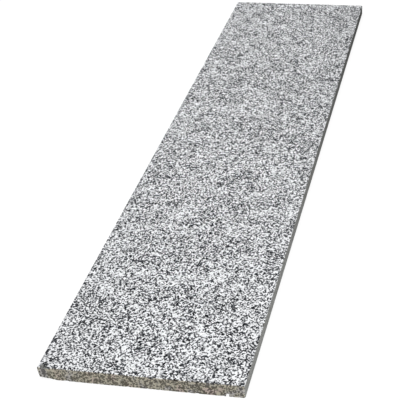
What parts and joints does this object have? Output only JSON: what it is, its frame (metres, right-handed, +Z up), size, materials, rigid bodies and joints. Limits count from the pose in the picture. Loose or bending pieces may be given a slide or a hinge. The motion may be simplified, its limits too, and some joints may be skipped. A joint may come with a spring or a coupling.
{
  "type": "granite window sill",
  "caption": "Flat granite window sill slab with a polished top, a ground front edge, sawn ends, a drip groove under the front edge and one broken lower corner.",
  "frame": {"origin": "centre of the footprint, on the underside", "axes": "+X along the length, -Y towards the front edge with the drip groove under it, +Z up through the polished top"},
  "size_m": [1.5, 0.3, 0.02],
  "materials": {
    "granite": "light grey granite, polished on top, ground smooth on the front edge, sawn on the ends, back and underside"
  },
  "bodies": {
    "root": {"sill": "granite"}
  },
  "joints": []
}
